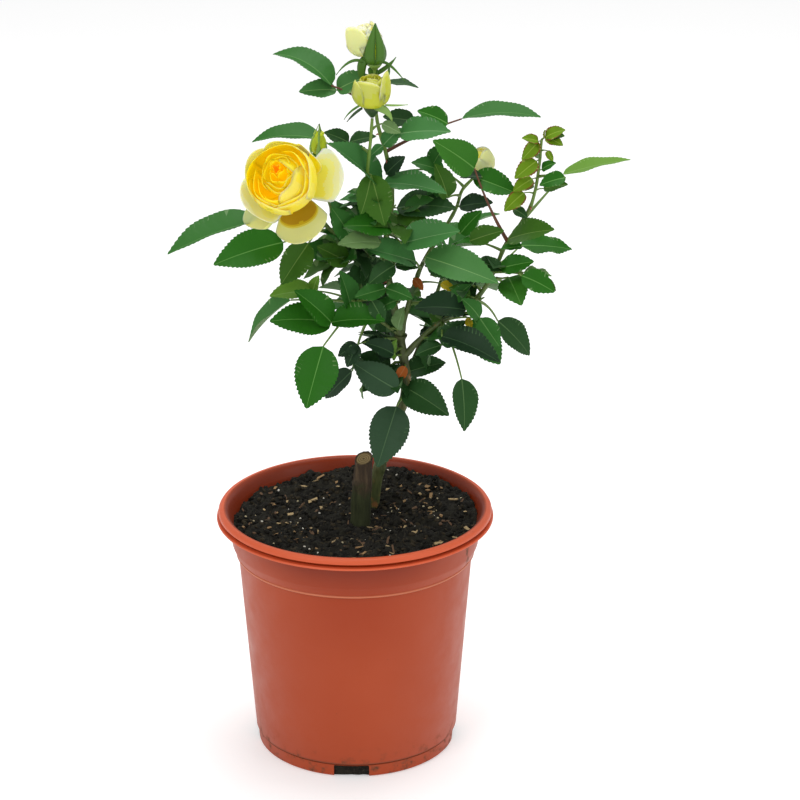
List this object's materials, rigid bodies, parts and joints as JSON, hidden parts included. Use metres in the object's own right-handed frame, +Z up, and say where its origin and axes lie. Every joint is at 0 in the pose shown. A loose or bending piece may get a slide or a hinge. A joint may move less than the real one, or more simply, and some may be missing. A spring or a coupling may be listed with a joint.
{
  "type": "rose bush in a pot",
  "caption": "Young yellow rose bush with toothed compound leaves, an open bloom and buds on thin canes, in a terracotta-coloured plastic nursery pot of dark compost.",
  "frame": {"origin": "centre of the pot's flat underside, on the surface the pot stands on", "axes": "+Z up along the pot's axis, -Y towards the side the open bloom leans to, +X to the right of that"},
  "size_m": [0.3526, 0.2408, 0.59],
  "materials": {
    "pot_plastic": "satin moulded plastic, terracotta colour, a little scuffed and water-marked",
    "compost": "dull, crumbly and moist, with bark chips and pale grains",
    "old_bark": "dull furrowed bark, sawn end grain on top",
    "green_bark": "satin green bark with red prickles",
    "green_leaf": "satin, lightly quilted by its veins, paler below",
    "young_leaf": "satin yellow-green with red edges",
    "shade_leaf": "satin dark green",
    "gold_petal": "soft and velvety, golden at the heart and pale at the edge",
    "cream_petal": "soft and velvety, pale yellow to cream",
    "green_sepal": "satin green sepals"
  },
  "bodies": {
    "root": {"pot": "pot_plastic", "soil": "compost", "stump": "old_bark", "main_stem": "green_bark", "back_left_cane": "green_bark", "back_right_cane": "green_bark", "bloom_cane": "green_bark", "bud_cane": "green_bark", "hidden_cane": "green_bark", "low_left_cane": "green_bark", "second_cane": "green_bark", "small_bud_cane": "green_bark", "young_cane": "green_bark", "bloom": "gold_petal", "top_flower": "cream_petal", "second_flower": "cream_petal", "hidden_flower": "cream_petal", "small_bud": "green_sepal", "mass_back_left": "shade_leaf", "mass_back_right": "shade_leaf", "mass_centre": "shade_leaf", "mass_heart": "shade_leaf", "mass_left": "shade_leaf", "mass_low_left": "shade_leaf", "mass_low_right": "shade_leaf", "mass_right": "shade_leaf", "leaf_back_low": "green_leaf", "leaf_back_right": "green_leaf", "leaf_back_up": "green_leaf", "leaf_big_serrate": "green_leaf", "leaf_far_left": "green_leaf", "leaf_far_right": "green_leaf", "leaf_front_big": "green_leaf", "leaf_front_hang": "green_leaf", "leaf_front_mid": "green_leaf", "leaf_left_above": "green_leaf", "leaf_left_hang": "green_leaf", "leaf_left_mid": "green_leaf", "leaf_left_second": "green_leaf", "leaf_low_left": "green_leaf", "leaf_low_right": "green_leaf", "leaf_low_small": "green_leaf", "leaf_mid_left": "green_leaf", "leaf_mid_right": "green_leaf", "leaf_right_a": "green_leaf", "leaf_right_above": "green_leaf", "leaf_right_b": "green_leaf", "leaf_right_c": "green_leaf", "leaf_right_dark": "green_leaf", "leaf_right_hang": "green_leaf", "leaf_right_low": "green_leaf", "leaf_stem_left": "green_leaf", "leaf_stem_right_low": "green_leaf", "leaf_stem_right_up": "green_leaf", "leaf_top_left": "green_leaf", "leaf_top_right": "green_leaf", "leaf_young_left": "young_leaf", "leaf_young_mid": "young_leaf", "leaf_young_top": "young_leaf"}
  },
  "joints": []
}
